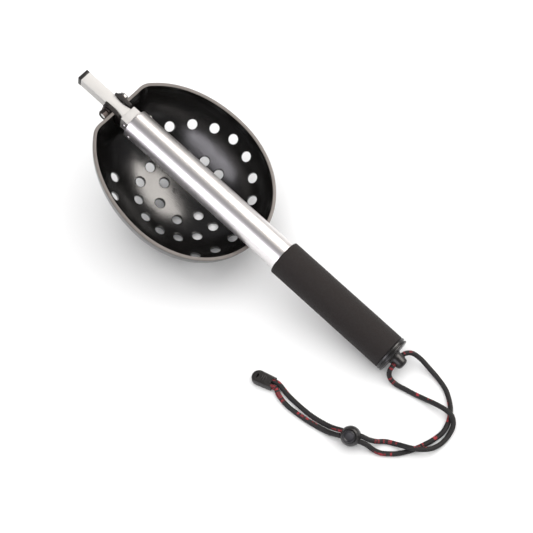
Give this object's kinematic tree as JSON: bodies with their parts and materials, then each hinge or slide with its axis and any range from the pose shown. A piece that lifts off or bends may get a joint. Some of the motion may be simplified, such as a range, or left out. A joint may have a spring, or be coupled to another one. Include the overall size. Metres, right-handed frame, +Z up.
{
  "type": "folding perforated scoop",
  "caption": "Round-bottomed perforated scoop with a tubular handle that folds over its bowl, a foam grip and a wrist lanyard with a cord lock and an end clip.",
  "frame": {"origin": "on the surface that the folded scoop lies on, under the middle of the object without its lanyard", "axes": "+X along the handle from the bowl to the grip, +Z up, +Y completes the right-handed frame"},
  "size_m": [0.4024, 0.1491, 0.0985],
  "materials": {
    "bowl_plastic": "black, glossy inside, worn to a satin grey-brown along the rim",
    "bracket_plastic": "satin black moulding",
    "bolt_steel": "bright zinc-plated",
    "nut_steel": "dull plated",
    "bar_aluminium": "pale matt anodised",
    "tube_aluminium": "satin anodised",
    "cap_plastic": "satin black moulding",
    "grip_foam": "matt closed-cell foam, brown-black",
    "butt_plastic": "gloss black moulding",
    "braided_cord": "black braid with a red tracer fleck",
    "lock_plastic": "satin black moulding",
    "button_plastic": "satin black moulding, dished",
    "clip_plastic": "satin black moulding"
  },
  "bodies": {
    "bowl": {"bowl": "bowl_plastic", "hinge_bracket": "bracket_plastic", "hinge_bolt": "bolt_steel", "hinge_nut": "nut_steel", "head_washer": "nut_steel", "nut_washer": "nut_steel"},
    "handle": {"pivot_bar": "bar_aluminium", "bar_end_cap": "cap_plastic", "sleeve_block": "bar_aluminium", "handle_tube": "tube_aluminium", "block_rivet_left": "bolt_steel", "block_rivet_right": "bolt_steel", "tube_rivet_left": "bolt_steel", "tube_rivet_right": "bolt_steel", "foam_grip": "grip_foam", "butt_cap": "butt_plastic", "lanyard_loop_right": "braided_cord", "lanyard_loop_left": "braided_cord", "lanyard_tail_right": "braided_cord", "lanyard_tail_left": "braided_cord", "lock_body": "lock_plastic", "lock_ring": "lock_plastic", "lock_spring": "bolt_steel", "clip_base": "clip_plastic", "clip_cover": "clip_plastic"},
    "lock_button": {"lock_button": "button_plastic"}
  },
  "joints": [
    {"name": "handle_fold", "type": "hinge", "parent": "bowl", "child": "handle", "pos_m": [-0.13355, 0, 0.08506], "axis": [0, -1, 0], "range_deg": [0, 93.5]},
    {"name": "lock_press", "type": "slide", "parent": "handle", "child": "lock_button", "axis": [-0.1779, 0.4469, -0.8767], "range_m": [0, 0.002], "stiffness_N_per_m": 400, "springref_m": -0.003, "deforming": ["lock_spring"]}
  ]
}
